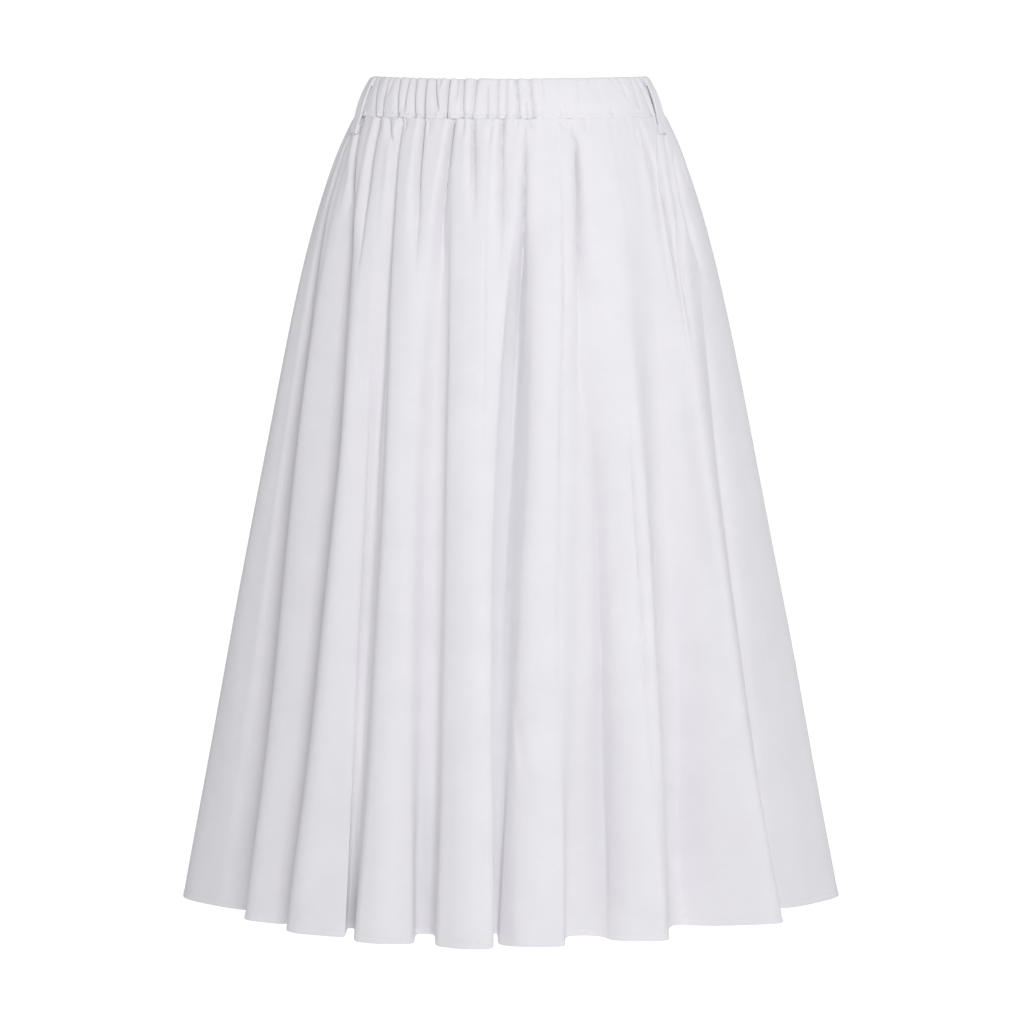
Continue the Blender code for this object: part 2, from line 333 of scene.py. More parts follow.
def hem_corners():
    """The hem's corners in order: x, y, rise, the bearing and bow of each, and its softness."""
    rows = []
    before = FOLDS[-1].top - 360
    bow = FOLDS[-1].bow
    for fold in FOLDS:
        bearings = np.linspace(before + WALL_BEARING, fold.shoulder, len(fold.front))
        bows = np.linspace(bow, fold.bow, len(fold.front))
        for (x, y, softness), bearing, bow in zip(fold.front, bearings, bows):
            rows.append((x * MM, y * MM, 0, bearing, bow * MM, softness))
        for index, (x, y, rise, softness) in enumerate(fold.valley):
            bearing = fold.top + index * WALL_BEARING / 2
            rows.append((x * MM, y * MM, rise * MM, bearing, fold.bow * MM, softness))
        before, bow = fold.top, fold.bow
    return np.array(rows)


HEM_CORNERS = hem_corners()


def corner_at(index):
    """x, y, rise, bearing and bow of corners; an index past the last goes round again."""
    turns, place = np.divmod(index, CORNERS)
    found = HEM_CORNERS[place, :5].copy()
    found[..., 3] += 360 * turns
    return found


def hem_line(positions):
    """x, y, rise, bearing and bow along the rounded hem line."""
    nearest = np.floor(positions + 0.5).astype(int)
    offset = (positions - nearest)[:, None]
    here = corner_at(nearest)
    before = corner_at(nearest - 1)
    after = corner_at(nearest + 1)
    straight = between(here, np.where(offset > 0, after, before), abs(offset))
    reach = HEM_CORNERS[nearest % CORNERS, 5:] / 2
    into = between(here, before, reach)
    out = between(here, after, reach)
    share = (offset / reach + 1) / 2
    rounded = between(between(into, here, share), between(here, out, share), share)
    return np.where(abs(offset) >= reach, straight, rounded)


def soft_hem_line(positions):
    """x, y and rise along the hem line as it would be with all its corners blurred."""
    fine = np.linspace(0, CORNERS, 2 * CORNER_SAMPLES * CORNERS + 1)
    line = hem_line(fine)[:, :3]
    arc = arc_lengths(line[:, :2])
    count = int(arc[-1] / MM)
    even = np.linspace(0, arc[-1], count, endpoint=False)
    values = at_places(even, arc, line)
    blurred = np.zeros(values.shape)
    total = 0.0
    reach = round(3 * HEM_BLUR / MM)
    for step in range(-reach, reach + 1):
        weight = np.exp(-0.5 * (step * MM / HEM_BLUR) ** 2)
        blurred += weight * np.roll(values, step, axis=0)
        total += weight
    blurred = np.concatenate([blurred, blurred[:1]]) / total
    place = np.interp(positions % CORNERS, fine, arc) / arc[-1] * count
    return at_places(place, np.arange(count + 1), blurred)


def dip(turn):
    """How far the waistline sinks between the side seams."""
    ahead = np.cos(turn)
    return FRONT_DIP * ahead.clip(0, 1) ** 2 + BACK_DIP * (-ahead).clip(0, 1) ** 2


def skirt_form(positions, drops):
    """The cloth's middle surface: a row of points for each drop."""
    line = hem_line(positions)
    turn = np.radians(line[:, 3])
    drop = drops[:, None]
    share = drop / SKIRT_DROP
    crisp = smooth((share - CRISP_FROM) / CRISP_OVER)
    hem = between(soft_hem_line(positions), line[:, :3], crisp[..., None]) * share[..., None]
    spring = np.exp(-drop / HIP_REACH)
    wide = (1 - share) * (SEAM_WIDTH + HIP_SPRING) / 2 - spring * HIP_SPRING / 2
    deep = (1 - share) * (SEAM_DEPTH + HIP_DEPTH_SPRING) / 2 - spring * HIP_DEPTH_SPRING / 2
    bend = line[:, 4] * np.sin(np.pi * share**BOW_PLACE)
    along = unit(join(SEAM_WIDTH * np.cos(turn), SEAM_DEPTH * np.sin(turn)))
    x = wide * np.sin(turn) + bend * along[:, 0]
    y = -deep * np.cos(turn) + bend * along[:, 1]
    z = SEAM - drop - dip(turn) * np.exp(-drop / DIP_REACH)
    return join(x, y, z) + hem


def panel_positions(first, last, count):
    """Positions across a panel, spread evenly by a mean of its lengths at the band and the hem,
    but crowded where creases start."""
    fine = np.linspace(first, last, count * COLUMN_SAMPLES)
    arcs = arc_lengths(skirt_form(fine, np.array([0.0, SKIRT_DROP])))
    bearings = hem_line(fine)[:, 3]
    crowd = np.ones(len(fine))
    for crease in all_creases():
        for _drop, bearing in crease.line[:CROWD_POINTS]:
            crowd += CROWDING * bell((bearings - bearing) / CROWD_WIDTH)
    pace = np.gradient((arcs / arcs[:, -1:]).mean(axis=0)) * np.minimum(crowd, MOST_CROWDED)
    measure = np.cumsum(pace)
    measure = (measure - measure[0]) / (measure[-1] - measure[0])
    return np.interp(np.linspace(0, 1, count), measure, fine)


def panel_drops():
    starts = [start for start, _step in ROW_STEPS]
    rows = []
    for (start, step), end in zip(ROW_STEPS, starts[1:] + [SKIRT_DROP]):
        rows.extend(np.linspace(start, end, round((end - start) / step), endpoint=False))
    return np.array(rows + [SKIRT_DROP])


Cloth = namedtuple("Cloth", "positions bearings drops points arc normals")


def make_cloth(positions):
    drops = panel_drops()
    points = skirt_form(positions, drops)
    normals = unit(np.cross(np.gradient(points, axis=0), np.gradient(points, axis=1)))
    bearings = hem_line(positions)[:, 3]
    return Cloth(positions, bearings, drops, points, arc_lengths(points), normals)


# ---- Creases ----

SEAM_OPENING = 6 * MM  # over which a gather opens below the seam
OPENING_SHARE = 0.3  # of a crease's length, where it begins further down
FIRST_OPENING = 0.35  # how far it is open at its first point
FADE_SHARE = 0.65  # of its length
CREASE_SPREAD = 0.12  # a crease is twice as wide this far down
CREASE_STRENGTH = 2.0
CREASE_WIDTH = 1.3
CREASE_ROUNDNESS = 1.3
CREASE_EDGE = 1.5 * MM  # over which it rises again on its right
ROLL_WIDTH = 3 * MM
VALLEY_ROUNDNESS = 1.3
GATHER_SEED = 11
VALLEY_SEED = 12
BACK_GATHERS = (84.0, 276)  # bearings of the first and the last


def envelope(drops, first, last):
    """How strong a crease is down its length: sudden at the seam, gradual elsewhere."""
    opening = SEAM_OPENING if first < SEAM_OPENING else (last - first) * OPENING_SHARE
    grow = smooth(FIRST_OPENING + (drops - first) / opening)
    fade = smooth((last - drops) / ((last - first) * FADE_SHARE))
    return grow * fade


def from_line(cloth, line):
    """Each point's distance to the right of a line of (drop, bearing) down the cloth."""
    drops, bearings = np.array(line).T
    path = np.interp(cloth.drops, drops * MM, bearings)
    starts = [np.interp(bearing, cloth.bearings, arc) for bearing, arc in zip(path, cloth.arc)]
    return cloth.arc - np.array(starts)[:, None]


def down_cloth(cloth, drops, sizes):
    """Sizes in metres for each row of the cloth, from those in a table at some drops."""
    return [np.interp(cloth.drops, drops * MM, size)[:, None] * MM for size in sizes]


def crease_lift(cloth, crease):
    """How far this crease lifts each point of the cloth: a soft roll, then a sharp trough."""
    aside = from_line(cloth, crease.line)
    first, last = (crease.line[end][0] * MM for end in (0, -1))
    strength = envelope(cloth.drops, first, last)[:, None] * MM
    spread = 1 + (cloth.drops - first).clip(0)[:, None] / CREASE_SPREAD
    rise = np.exp(-aside.clip(0) / (CREASE_EDGE * spread))
    slope = CREASE_WIDTH * crease.width * MM * spread
    sink = np.exp(-((-aside.clip(None, 0) / slope) ** CREASE_ROUNDNESS))
    roll = bell(aside / (ROLL_WIDTH * spread) + 2)
    return CREASE_STRENGTH * strength * (crease.roll * roll - crease.depth * sink * rise)


def valley_lift(cloth, valley):
    """How far this valley lowers each point of the cloth."""
    drops, bearings, *sizes = np.array(valley).T
    aside = from_line(cloth, np.stack([drops, bearings], axis=1))
    depth, left, right = down_cloth(cloth, drops, sizes)
    return -depth * np.exp(-(abs(aside / np.where(aside < 0, left, right)) ** VALLEY_ROUNDNESS))


def step_lift(cloth, step):
    """How far this fold's cloth tilts, its left edge out and its right edge in."""
    drops, *sizes = np.array(step.rows).T
    high, low = down_cloth(cloth, drops, sizes)
    left = from_line(cloth, step.left)
    right = from_line(cloth, step.right)
    share = (left / (left - right)).clip(0, 1)
    tilt = between(high, -low, share**step.bend) * smooth(left / STEP_RISE)
    return tilt * (1 - smooth(right / STEP_RISE))


def back_valleys():
    """Valleys like the front's, round the sides and the back."""
    rng = np.random.default_rng(VALLEY_SEED)
    found = []
    for fold in BACK_FOLDS:
        deep = rng.uniform(2.0, 5.0)
        slopes = (rng.uniform(4, 10), rng.uniform(4, 8))
        rows = ((50, 0), (150, deep), (500, deep), (730, 1))
        found.append([(drop, fold.top, depth, *slopes) for drop, depth in rows])
    return found


def back_creases():
    """Gathers like the front's, round the sides and the back, where each fold's valley has one."""
    rng = np.random.default_rng(GATHER_SEED)
    found = []
    for fold in BACK_FOLDS:
        reach = rng.uniform(180, 300)
        top = fold.top + rng.uniform(-1, 2)
        line = ((0, top), (40, top + rng.uniform(-1, 1)), (reach, fold.top + 1.5))
        found.append(Crease(line, rng.uniform(3.6, 4.8), rng.uniform(2.2, 2.8), 0.7))
    bearing, last = BACK_GATHERS
    while bearing < last:
        length = 14 + 150 * rng.random() ** 2.2
        drift = rng.uniform(-3, 3)
        depth = 1.0 + 2.6 * min(length / 100, 1) * rng.uniform(0.7, 1.1)
        line = ((0, bearing), (length * 0.4, bearing + drift), (length, bearing + drift * 1.3))
        found.append(Crease(line, depth, rng.uniform(1.4, 3.4), depth * 0.25))
        bearing += rng.uniform(3.5, 9.5)
    return found


def all_creases():
    return FRONT_CREASES + back_creases()


# ---- Unevenness ----

WAVE_SEED = 5
WAVES = 14
WAVE_HEIGHT = 0.16 * MM
WAVE_AT_WAIST = 0.35  # of its full height
WAVE_GROWTH = 0.3  # it is full this far down
WAVE_START = 0.02

GATHER_WAVE = 0.55 * MM
GATHER_PITCH = 15 * MM
GATHER_REACH = 0.07

TUCK = 0.2 * MM
TUCK_REACH = 1.2 * MM
PUCKER = 0.85 * MM
PUCKER_PITCH = 4.6 * MM
PUCKER_REACH = 5 * MM
RIGHT_GATHERING = 0.35
BACK_GATHERING = 0.7
RIGHT_FROM, RIGHT_OVER = -20, 40  # degrees where the gathering changes, and over how many
BACK_FROM, BACK_OVER = 70, 10

SEAM_GROOVE = 0.08 * MM
SEAM_GROOVE_WIDTH = 0.9 * MM
SEAM_PULL = 0.1 * MM
SEAM_PULL_WIDTH = 5 * MM
SEAM_PULL_PITCH = 14 * MM

HEM_STEP = 0.25 * MM
HEM_STEP_WIDTH = 1.5 * MM
HEM_GROOVE = 0.30 * MM
HEM_GROOVE_WIDTH = 0.9 * MM
HEM_PULL = 0.35 * MM
HEM_PULL_WIDTH = 5 * MM
HEM_PULL_PITCH = 11 * MM


def hem_arc(positions):
    """Distance along the hem line from the first corner, the same for both panels."""
    fine = np.linspace(0, 2 * CORNERS, CORNER_SAMPLES * CORNERS)
    return np.interp(positions, fine, arc_lengths(hem_line(fine)[:, :2]))


def undulation(cloth):
    """Low, broad waves in the cloth, growing from the waist to the hem."""
    rng = np.random.default_rng(WAVE_SEED)
    across = hem_arc(cloth.positions)[None, :]
    down = cloth.drops[:, None]
    lift = np.zeros(cloth.arc.shape)
    for _wave in range(WAVES):
        wide = rng.uniform(0.05, 0.16)
        tall = rng.uniform(0.25, 0.90) * rng.choice((-1, 1))
        phase = rng.uniform(0, 2 * np.pi)
        lift += WAVE_HEIGHT * np.sin(2 * np.pi * (across / wide + down / tall) + phase)
    return lift * between(WAVE_AT_WAIST, 1, smooth(down / WAVE_GROWTH)) * smooth(down / WAVE_START)


def gather_waves(cloth):
    """Soft rolls between the gathers, fading down the skirt."""
    wave = ripple(cloth.arc[:1], GATHER_PITCH, seed=61)
    return GATHER_WAVE * wave * np.exp(-cloth.drops[:, None] / GATHER_REACH)


def seam_puckers(cloth):
    """The tuck under the waistband's seam and the small puckers that it throws."""
    down = cloth.drops[:, None]
    pucker = PUCKER * ripple(cloth.arc, PUCKER_PITCH, seed=21) * np.exp(-down / PUCKER_REACH)
    return pucker * gathering(cloth.bearings) - TUCK * np.exp(-down / TUCK_REACH)


def gathering(bearings):
    """How tightly the cloth is gathered at each bearing: much from the left to the middle of
    the front, less on its right, and an even amount behind."""
    ahead = (bearings + 180) % 360 - 180
    front = between(1.0, RIGHT_GATHERING, smooth((ahead - RIGHT_FROM) / RIGHT_OVER))
    return between(front, BACK_GATHERING, smooth((abs(ahead) - BACK_FROM) / BACK_OVER))


def side_seams(cloth):
    """The turned-in edges at the side seams, slightly puckered."""
    lift = np.zeros(cloth.arc.shape)
    for column, seed in ((0, 31), (FRONT_COLUMNS - 1, 32), (-1, 31)):
        aside = abs(cloth.arc - cloth.arc[:, column][:, None])
        pull = between(0.7, 1.0, ripple(cloth.drops[:, None], SEAM_PULL_PITCH, seed))
        lift -= SEAM_GROOVE * np.exp(-aside / SEAM_GROOVE_WIDTH)
        lift -= SEAM_PULL * pull * np.exp(-aside / SEAM_PULL_WIDTH)
    return lift


def hem_relief(cloth):
    """The turned-up hem: a slight step, and the line where its stitching draws the cloth in."""
    above = (SKIRT_DROP - cloth.drops)[:, None] - HEM_STITCH
    step = HEM_STEP * smooth(-above / HEM_STEP_WIDTH)
    groove = HEM_GROOVE * bell(above / HEM_GROOVE_WIDTH)
    puckers = ripple(cloth.arc, HEM_PULL_PITCH, seed=41)
    return step - groove + HEM_PULL * puckers * np.exp(-abs(above) / HEM_PULL_WIDTH)


# ---- Meshes ----


SHARP = np.radians(75)  # edges over this angle are shaded sharp, as at a cloth's rim


def grid_faces(rows, columns, wrap_rows, wrap_columns):
    """Corner indices of the quads between the points of a grid, which may close on itself."""
    row = np.arange(rows if wrap_rows else rows - 1)
    column = np.arange(columns if wrap_columns else columns - 1)
    row, column = (found.ravel() for found in np.meshgrid(row, column, indexing="ij"))
    below = (row + 1) % rows
    beside = (column + 1) % columns
    corners = (row * columns + column, below * columns + column)
    return np.stack([*corners, below * columns + beside, row * columns + beside], axis=1)


def mesh_object(name, points, faces, look, uvs=None):
    """A smooth mesh piece, with uvs given for each point in metres of cloth."""
    mesh = bpy.data.meshes.new(name)
    mesh.from_pydata(points.reshape(-1, 3).tolist(), [], [list(face) for face in faces])
    if uvs is not None:
        index = np.empty(len(mesh.loops), dtype=np.int32)
        mesh.loops.foreach_get("vertex_index", index)
        layer = mesh.uv_layers.new(name="cloth")
        layer.data.foreach_set("uv", uvs.reshape(-1, 2)[index].ravel())
    mesh.materials.append(look)
    mesh.shade_smooth()
    mesh.set_sharp_from_angle(angle=SHARP)
    mesh.update()
    made = bpy.data.objects.new(name, mesh)
    bpy.context.scene.collection.objects.link(made)
    return made


def shell(outer, inner):
    """Points and faces of a cloth between an outer and an inner grid, closed all round."""
    rows, columns = outer.shape[:2]
    points = np.concatenate([outer, inner[::-1]])
    faces = grid_faces(2 * rows, columns, True, False)
    row = np.arange(rows - 1)
    mirror = 2 * rows - 1 - row
    left = np.stack([mirror, mirror - 1, row + 1, row], axis=1) * columns
    right = left[:, ::-1] + columns - 1
    return points, np.concatenate([faces, left, right])


def trim(piece):
    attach(piece, "root")


def fit(piece, node):
    trim(piece)
    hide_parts(node)


# ---- Stitches ----

THREAD = 0.19 * MM  # radius
STITCH_SIDES = 6
STITCH_FORM = ((-0.5, 0.15), (-0.42, 0.8), (0.0, 1.0), (0.42, 0.8), (0.5, 0.15))  # place, thickness
STITCH_SINK = 0.05 * MM  # how far the hem's and the band's lie in the cloth


def stitches(name, line, outward, spacing, look, closed=False, sink=0.0):
    """Short threads laid end to end along a line of points, half sunk in the cloth."""
    pitch, gap = spacing
    if closed:
        line = np.concatenate([line, line[:1]])
        outward = np.concatenate([outward, outward[:1]])
    arc = arc_lengths(line)
    count = int(arc[-1] / pitch)
    middles = (np.arange(count) + 0.5) * arc[-1] / count
    length = arc[-1] / count - gap
    first, last = (at_places(middles + half * length, arc, line) for half in (-0.5, 0.5))
    along = unit(last - first)
    out = unit(at_places(middles, arc, outward))
    side = unit(np.cross(along, out))
    centre = (first + last) / 2 - out * sink
    rings = []
    for share, radius in STITCH_FORM:
        for step in range(STITCH_SIDES):
            turn = 2 * np.pi * step / STITCH_SIDES
            spoke = out * np.cos(turn) + side * np.sin(turn)
            rings.append(centre + along * length * share + spoke * THREAD * radius)
    sides = grid_faces(len(STITCH_FORM), STITCH_SIDES, False, True)
    caps = np.array([range(STITCH_SIDES - 1, -1, -1), range(len(rings) - STITCH_SIDES, len(rings))])
    starts = np.arange(count)[:, None, None] * len(rings)
    faces = [*(sides + starts).reshape(-1, 4), *(caps + starts).reshape(-1, STITCH_SIDES)]
    return mesh_object(name, np.stack(rings, axis=1), faces, look)


# ---- Materials ----

WHITE_DARK = (0.725, 0.713, 0.750)
WHITE_LIGHT = (0.785, 0.773, 0.810)
WEAVE_PITCH = 0.45 * MM
WEAVE_DEPTH = 0.06 * MM
WEAVE_TONE = 0.18
SLUB_WIDTH = 1.4 * WEAVE_PITCH
SLUBS_A_METRE = 38.0  # along a thread
SLUB_TONE = 0.5
SLUB_HEIGHT = 0.8
MOTTLE_SCALE = 26.0
MOTTLE_TONE = (0.7, 0.12)  # its part of the tone, and what is added to it
TONES = (0.35, 0.95)  # that are fully dark and fully light
GRAIN_SCALE = 900.0  # of the thread
GRAIN_DEPTH = 0.05 * MM
GRAIN_SHADE = 0.93


def add_node(tree, kind, links=(), **settings):
    """A node with its settings, and (input, value or output to link) pairs."""
    node = tree.nodes.new(kind)
    for name, value in settings.items():
        setattr(node, name, value)
    for name, value in links:
        if isinstance(value, bpy.types.NodeSocket):
            tree.links.new(value, node.inputs[name])
        else:
            node.inputs[name].default_value = value
    return node


def math(tree, operation, *values):
    node = add_node(tree, "ShaderNodeMath", enumerate(values), operation=operation)
    return node.outputs[0]


def noise(tree, vector, scale, detail, roughness=0.5):
    settings = [("Vector", vector), ("Scale", scale), ("Detail", detail), ("Roughness", roughness)]
    return add_node(tree, "ShaderNodeTexNoise", settings).outputs["Fac"]


def new_look(name, **values):
    """A material, its node tree and its shader, with the values of the shader's sockets."""
    look = bpy.data.materials.new(name)
    look.use_nodes = True
    shader = look.node_tree.nodes["Principled BSDF"]
    for socket, value in values.items():
        shader.inputs[socket.replace("_", " ")].default_value = value
    return look, look.node_tree, shader


def paint(tree, shader, share, dark, light):
    """Colours the shader between two colours."""
    colours = [(0, share), (6, (*dark, 1.0)), (7, (*light, 1.0))]
    mix = add_node(tree, "ShaderNodeMix", colours, data_type="RGBA")
    tree.links.new(mix.outputs[2], shader.inputs["Base Color"])


def emboss(tree, shader, height, strength, distance):
    relief = [("Height", height), ("Strength", strength), ("Distance", distance)]
    bump = add_node(tree, "ShaderNodeBump", relief)
    tree.links.new(bump.outputs[0], shader.inputs["Normal"])


def cloth_material(name, roughness):
    """Plain-weave cotton: threads, slubs and a faint mottle between two close colours."""
    look, tree, shader = new_look(
        name, Roughness=roughness, Specular_IOR_Level=0.25, Sheen_Weight=0.12, Sheen_Roughness=0.6
    )
    uv = add_node(tree, "ShaderNodeUVMap", uv_map="cloth").outputs["UV"]
    split = add_node(tree, "ShaderNodeSeparateXYZ", [("Vector", uv)])
    turns = [math(tree, "MULTIPLY", split.outputs[axis], np.pi / WEAVE_PITCH) for axis in (0, 1)]
    crossing = math(tree, "MULTIPLY", *(math(tree, "SINE", turn) for turn in turns))
    threads = math(tree, "ABSOLUTE", crossing)

    slubs = []
    for scale in ((1 / SLUB_WIDTH, SLUBS_A_METRE, 1.0), (SLUBS_A_METRE, 1 / SLUB_WIDTH, 1.0)):
        stretched = add_node(tree, "ShaderNodeMapping", [("Vector", uv), ("Scale", scale)])
        slubs.append(noise(tree, stretched.outputs[0], scale=1.0, detail=2.0))
    slub = math(tree, "MAXIMUM", *slubs)

    place = add_node(tree, "ShaderNodeTexCoord").outputs["Object"]
    mottle = noise(tree, place, MOTTLE_SCALE, detail=4.0, roughness=0.6)
    tone = math(tree, "MULTIPLY_ADD", mottle, *MOTTLE_TONE)
    tone = math(tree, "MULTIPLY_ADD", slub, SLUB_TONE, tone)
    tone = math(tree, "MULTIPLY_ADD", crossing, WEAVE_TONE, tone)
    limits = [("Value", tone), ("From Min", TONES[0]), ("From Max", TONES[1])]
    ramp = add_node(tree, "ShaderNodeMapRange", limits, clamp=True)
    paint(tree, shader, ramp.outputs[0], WHITE_DARK, WHITE_LIGHT)
    height = math(tree, "MULTIPLY_ADD", slub, SLUB_HEIGHT, threads)
    emboss(tree, shader, height, strength=0.6, distance=WEAVE_DEPTH)
    return look


def thread_material():
    """Spun thread, with a fine grain."""
    look, tree, shader = new_look("white_thread", Roughness=0.6)
    place = add_node(tree, "ShaderNodeTexCoord").outputs["Object"]
    grain = noise(tree, place, GRAIN_SCALE, detail=2.0)
    paint(tree, shader, grain, [GRAIN_SHADE * channel for channel in WHITE_LIGHT], WHITE_LIGHT)
    emboss(tree, shader, grain, strength=0.5, distance=GRAIN_DEPTH)
    return look


# ---- The panels ----

LEFT_CALM = 15 * MM  # beside the left side seam, where the cloth's relief starts and ends
HEM_STITCHES = (3.1 * MM, 0.7 * MM)  # pitch and gap
# Flat sizes of the cloth that shows, and their areas
FRONT_CUT = (0.95, 0.748)
FRONT_CUT_AREA = 0.50
BACK_CUT = (1.25, 0.748)
BACK_CUT_AREA = 0.66


def cloth_lift(cloth):
    """How far the whole skirt's cloth stands off its plain form."""
    lift = undulation(cloth) + gather_waves(cloth) + seam_puckers(cloth) + hem_relief(cloth)
    for crease in all_creases():
        lift += crease_lift(cloth, crease)
    for valley in (*FRONT_VALLEYS, *back_valleys()):
        lift += valley_lift(cloth, valley)
    for step in STEPS:
        lift += step_lift(cloth, step)
    aside = np.minimum(cloth.arc, cloth.arc[:, -1:] - cloth.arc)
    return lift * smooth(aside / LEFT_CALM) + side_seams(cloth)


def cut_panel(cloth, lift, first, last):
    """The columns of the whole cloth that are one panel, and their lift."""
    positions, bearings, drops, *grids = cloth
    points, arc, normals = (grid[:, first:last] for grid in grids)
    across = (positions[first:last], bearings[first:last])
    return Cloth(*across, drops, points, arc - arc[:, :1], normals), lift[:, first:last]


def make_panel(name, cloth, lift, flat, area, look, thread):
    up = (SKIRT_DROP - cloth.drops)[:, None]
    thick = between(CLOTH, HEM_CLOTH, smooth((HEM_WIDTH - up) / HEM_EDGE))
    points = cloth.points.copy()
    for column, inward in ((0, 1), (-1, -2)):
        edge = unit(points[:, inward] - points[:, column])
        points[:, column] += edge * SEAM_SLIT / 2
    outer = points + cloth.normals * (CLOTH / 2 + lift)[..., None]
    inner = outer - cloth.normals * thick[..., None]
    uv = join(cloth.arc - cloth.arc[:, -1:] / 2, -cloth.drops[:, None])
    shell_points, faces = shell(outer, inner)
    piece = mesh_object(name + "_cloth", shell_points, faces, look, np.concatenate([uv, uv[::-1]]))
    fit(piece, name)

    row = np.argmin(abs(cloth.drops - (SKIRT_DROP - HEM_STITCH)))
    place = (outer[row], cloth.normals[row])
    hem = stitches(name + "_hem_stitching", *place, HEM_STITCHES, thread, sink=STITCH_SINK)
    trim(hem)


# ---- The waistband ----

BAND_COLUMNS = 1200
BAND_WALL = 3.0 * MM
BAND_STITCHED = 6 * MM  # its lowest part, with finer rows
BAND_ROWS = 13  # up that part of its outer face, and up the rest
BAND_TOP_ROWS = 7
BAND_STITCH = 3.3 * MM  # height of its stitching above the seam
BAND_STITCHES = (2.9 * MM, 0.6 * MM)  # pitch and gap
BAND_STAND = 0.55 * MM  # how far its cloth stands out between its creases
BAND_CREASE_STRENGTH = 2.9
BAND_CREASE_ROUNDNESS = 1.15
CREASE_SLOPE = 2.6 * MM  # over which a crease sinks on its left
CREASE_WALL = 0.85 * MM  # and rises again on its right
CREASE_END = 0.2  # share of the band's height over which a short crease ends
BAND_PUCKER = 1.5 * MM
BAND_PUCKER_PITCH = 2.9 * MM
BAND_PUCKER_REACH = 2.6 * MM
BAND_GROOVE = 0.45 * MM
BAND_GROOVE_WIDTH = 0.7 * MM
BAND_TUCK = 0.2 * MM
BAND_TUCK_REACH = 0.5 * MM
INNER_CALM = 0.15  # how much flatter the inner face is
NICK = 0.35  # a crease lowers the top edge by this share of its depth
NICK_REACH = 0.15
BAND_SEED = 3
BACK_BAND_CREASES = (66.0, 287)  # bearings of the first and the last


def band_creases():
    """The front's creases and, round the sides and the back, similar ones."""
    rng = np.random.default_rng(BAND_SEED)
    found = list(FRONT_BAND_CREASES)
    bearing, last = BACK_BAND_CREASES
    while bearing < last:
        whole = rng.random() < 0.75
        low = 0.0 if whole else rng.choice((0.0, 0.45))
        high = 1.0 if whole or low > 0 else 0.55
        lean = rng.uniform(-4, 4)
        depth = rng.uniform(0.9, 1.8) * (1.0 if whole else 0.7)
        found.append(BandCrease(bearing + lean / 2, bearing - lean / 2, depth, low, high))
        bearing += rng.uniform(3.6, 8.0)
    return found


def waist_point(turn, share, z):
    """Points of the band's outer face: turn goes round it, share up it."""
    puff = BAND_PUFF * 4 * share * (1 - share)
    wide = between(SEAM_WIDTH, BAND_TOP_WIDTH, share) / 2 + puff
    deep = between(SEAM_DEPTH, BAND_TOP_DEPTH, share) / 2 + puff
    return join(wide * np.sin(turn), -deep * np.cos(turn), z)


def waist_outward(turn):
    return unit(join(np.sin(turn) / SEAM_WIDTH, -np.cos(turn) / SEAM_DEPTH, 0))


def band_profile():
    """(share of the height, distance in from the outer face) round the band's section, from the
    seam up the outside, over the top and down the inside."""
    radius = BAND_WALL / 2
    top = 1 - radius / BAND_HEIGHT
    fine = BAND_STITCHED / BAND_HEIGHT
    low = np.linspace(0, fine, BAND_ROWS, endpoint=False)
    outside = [(share, 0.0) for share in (*low, *np.linspace(fine, top, BAND_ROWS))]
    over = []
    for turn in np.linspace(0, np.pi, BAND_TOP_ROWS + 2)[1:-1]:
        over.append((top + np.sin(turn) * radius / BAND_HEIGHT, radius * (1 - np.cos(turn))))
    inside = [(share, BAND_WALL) for share in np.linspace(top, 0.0, BAND_ROWS + 1)]
    return np.array(outside + over + inside)


def band_lift(height, bearings):
    """How far the outer face stands out at each height share and bearing."""
    per_degree = np.radians(1) * (SEAM_WIDTH + SEAM_DEPTH + BAND_TOP_WIDTH + BAND_TOP_DEPTH) / 8
    above = height * BAND_HEIGHT
    lift = BAND_STAND * np.ones((len(height), len(bearings)))
    for crease in band_creases():
        path = between(crease.foot, crease.top, height)
        aside = ((bearings - path + 180) % 360 - 180) * per_degree
        aside = np.where(aside < 0, aside / CREASE_SLOPE, aside / CREASE_WALL)
        grow = 1.0 if crease.low == 0 else smooth((height - crease.low) / CREASE_END)
        fade = 1.0 if crease.high == 1 else smooth((crease.high - height) / CREASE_END)
        sink = np.exp(-(abs(aside) ** BAND_CREASE_ROUNDNESS))
        lift -= BAND_CREASE_STRENGTH * crease.depth * MM * grow * fade * sink
    puckers = ripple(bearings * per_degree, BAND_PUCKER_PITCH, seed=51) * gathering(bearings)
    lift += BAND_PUCKER * puckers * np.exp(-abs(above - BAND_STITCH) / BAND_PUCKER_REACH)
    lift -= BAND_GROOVE * bell((above - BAND_STITCH) / BAND_GROOVE_WIDTH)
    return lift - BAND_TUCK * np.exp(-above / BAND_TUCK_REACH)


